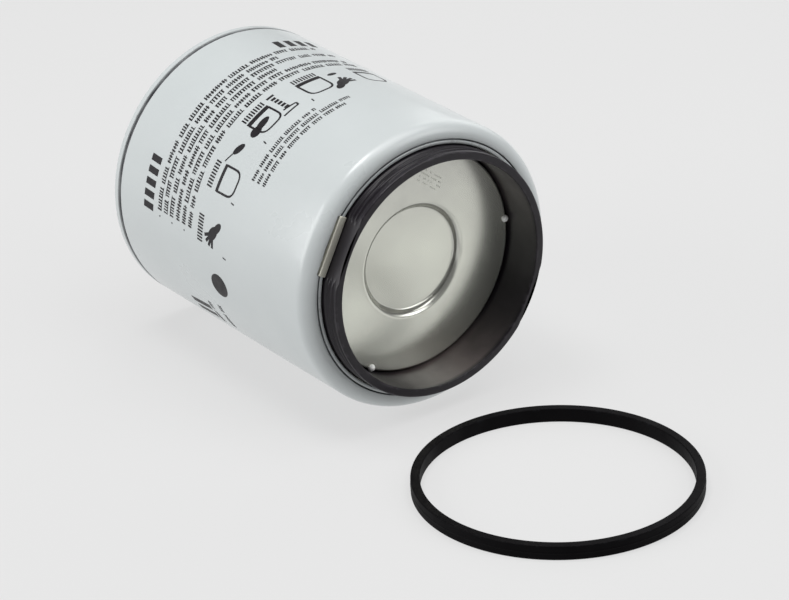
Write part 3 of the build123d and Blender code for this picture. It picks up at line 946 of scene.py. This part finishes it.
def make_print_signs():
    """Fitting signs as plain shapes: four bowls, two hands, drops, a stack of bars and a large dot."""
    signs = bowl_sign(around(-58.8), 68.2, 10.0, 9.6, 71.6)
    signs += bowl_sign(around(-31), 70.0, 10.0, 9.8, 72.2, 0.6)
    signs += bowl_sign(around(-6), 69.9, 10.0, 10.2, 72.0, 0.6)
    signs += bowl_sign(around(20), 69.5, 9.0, 10.0, 72.0)
    for left in around(-86) + 1.2 * np.arange(9):
        signs += strip(left, left + 0.7, 71.4, 74.6, slant=0.2)
    signs += hand_sign(around(-80.3), 65.2) + hand_sign(around(3.5), 61.0, -1.0)
    signs += path_line([(around(-52.5), 70.4), (around(-48.5), 68.4)], 0.6)
    signs += blob(around(-46), 67.0, 2.9, 1.5, -0.55)
    signs += blob(around(-37), 65.0, 2.6, 2.2) + blob(around(-33), 65.4, 3.6, 1.7, 0.1)
    signs += strip(around(-23.5), around(-20), 73.2, 74.4)
    for low in 62.5 + 2.1 * np.arange(5):
        signs += strip(around(-22.8), around(-20.7), low, low + 1.4)
    signs += path_line([(around(-26), 59.6), (around(-18.5), 60.0), (around(-18.3), 61.8),
                        (around(-24), 62.6)], 0.8)
    signs += blob(around(5), 69.9, 2.2, 1.0, 0.2)
    signs += blob(around(-101.5), 63.0, 4.7, 4.9)
    print_piece("print_signs", signs)


def make_print_low(rng):
    """Two large blocks and two short rows low on the can's side."""
    low = block_row(around(-128), 2, 5.0, 80.0, 93.0, -1.2)
    low += ticks_row(rng, around(-129), around(-116.5), 76.4, 2.4)
    low += ticks_row(rng, around(-128), around(-114.5), 69.0, 2.4)
    print_piece("print_low", low)


def make_cap_code():
    """Faint slanted mark of small flat studs on the end cap: four rows, about a third of them left out, with
    no letters. A stud is an eight-sided prism."""
    rng = np.random.default_rng(11)
    along, up = np.meshgrid(-5.2 + 0.78 * np.arange(15), 2.5 - 1.5 * np.arange(4))
    kept = rng.random(along.shape) > 0.3
    along, up = along[kept], up[kept]
    cos, sin = math.cos(CODE_SLANT), math.sin(CODE_SLANT)
    centres = np.stack([8.2 + along * cos + up * sin, 0 * up, 29.0 - along * sin + up * cos], -1) * MM
    sides = 8
    turn = np.linspace(0, 2 * np.pi, sides, endpoint=False)
    rim = np.stack([0.27 * np.cos(turn), 0 * turn, 0.42 * np.sin(turn)], -1) * MM
    levels = np.array([CAP_Y - 0.015 * MM, CAP_Y + 0.05 * MM])[:, None, None] * np.array([0, 1, 0])
    points = (centres[:, None, None] + rim[None, None] + levels).reshape(-1, 3)
    faces = []
    for first in range(0, len(points), 2 * sides):
        near = [first + j for j in range(sides)]
        far = [j + sides for j in near]
        faces += [near, far[::-1]]
        faces += [[near[j], far[j], far[j + 1 - sides], near[j + 1 - sides]] for j in range(sides)]
    loose_shapes("cap_code", points, faces, "code_ink")


print_rng = np.random.default_rng(7)
make_can()
make_thread_ring()
make_lock_ring()
make_dished_cap()
make_nubs()
make_lid()
make_gasket()
make_base_plate()
make_seal()
make_print_rows(print_rng)
make_print_blocks()
make_print_signs()
make_print_low(print_rng)
make_cap_code()


# ---------------------------------------------------------------- floor, light and camera
def floor_finish():
    """Plain pale floor, partly lit from within like a light table, so that shadows on it stay faint."""
    made = bpy.data.materials.new("floor_pale")
    made.use_nodes = True
    shader = made.node_tree.nodes["Principled BSDF"]
    shader.inputs["Base Color"].default_value = (0.16, 0.16, 0.16, 1)
    shader.inputs["Roughness"].default_value = 0.9
    shader.inputs["Specular IOR Level"].default_value = 0.1
    shader.inputs["Emission Color"].default_value = (1, 1, 1, 1)
    shader.inputs["Emission Strength"].default_value = 0.59
    return made


def make_floor():
    """A square sheet at the height that the seal and the can rest on."""
    half = 4.0
    mesh = bpy.data.meshes.new("floor")
    mesh.from_pydata([(-half, -half, FLOOR_Z), (half, -half, FLOOR_Z), (half, half, FLOOR_Z),
                      (-half, half, FLOOR_Z)], [], [(0, 1, 2, 3)])
    floor = bpy.data.objects.new("floor", mesh)
    bpy.context.scene.collection.objects.link(floor)
    mesh.materials.append(floor_finish())


def area_light(name, place, target, size, power, colour=(1, 1, 1)):
    """A square soft light that faces a target."""
    lamp = bpy.data.lights.new(name, "AREA")
    lamp.size = size
    lamp.energy = power
    lamp.color = colour
    light = bpy.data.objects.new(name, lamp)
    light.location = place
    light.rotation_euler = (Vector(target) - Vector(place)).to_track_quat("-Z", "Y").to_euler()
    bpy.context.scene.collection.objects.link(light)


def make_lights():
    """Five soft lights, and a world that shows pale grey behind the floor and casts a little even light."""
    target = (0, (RIM_Y + SEAM_TOP_Y) / 2, 0)
    area_light("key_overhead", (-0.3, 0.1, 1.3), target, 0.45, 7.0)
    area_light("soft_overhead", (0.25, -0.35, 1.25), target, 1.0, 9.5)
    area_light("fill_front_right", (0.73, -1.08, 0.62), target, 0.7, 4.5)
    area_light("fill_left", (-1.35, 0.55, 0.5), target, 1.1, 14.5)
    area_light("fill_right", (1.3, 0.6, 0.7), target, 1.2, 6.0)
    world = bpy.data.worlds.new("studio")
    world.use_nodes = True
    tree = world.node_tree
    shown, cast = tree.nodes["Background"], tree.nodes.new("ShaderNodeBackground")
    shown.inputs["Color"].default_value = (0.79, 0.79, 0.79, 1)
    cast.inputs["Color"].default_value = (1, 1, 1, 1)
    cast.inputs["Strength"].default_value = 0.2
    path, mix = tree.nodes.new("ShaderNodeLightPath"), tree.nodes.new("ShaderNodeMixShader")
    tree.links.new(path.outputs["Is Camera Ray"], mix.inputs["Fac"])
    tree.links.new(cast.outputs["Background"], mix.inputs[1])
    tree.links.new(shown.outputs["Background"], mix.inputs[2])
    tree.links.new(mix.outputs["Shader"], tree.nodes["World Output"].inputs["Surface"])
    bpy.context.scene.world = world


VIEW_AZIMUTH = math.radians(-35.56)
VIEW_ELEVATION = math.radians(25.88)
VIEW_ROLL = math.radians(-1.94)
VIEW_DISTANCE = 1.29
VIEW_LENS = 166.6
VIEW_SENSOR = 36.0
VIEW_AIM = Vector((-0.0158, RIM_Y + 0.0070, -0.0072))


def make_camera():
    """Long lens above and to the left of the open end, aimed just inside the ring."""
    level = math.cos(VIEW_ELEVATION)
    back = Vector((math.sin(VIEW_AZIMUTH) * level, -math.cos(VIEW_AZIMUTH) * level, math.sin(VIEW_ELEVATION)))
    data = bpy.data.cameras.new("camera")
    data.lens = VIEW_LENS
    data.sensor_width = VIEW_SENSOR
    camera = bpy.data.objects.new("camera", data)
    camera.rotation_euler = (-back).to_track_quat("-Z", "Y").to_euler()
    camera.rotation_euler.rotate_axis("Z", VIEW_ROLL)
    camera.location = VIEW_AIM + back * VIEW_DISTANCE
    bpy.context.scene.collection.objects.link(camera)
    bpy.context.scene.camera = camera


make_floor()
make_lights()
make_camera()
bpy.context.scene.view_settings.view_transform = "Standard"
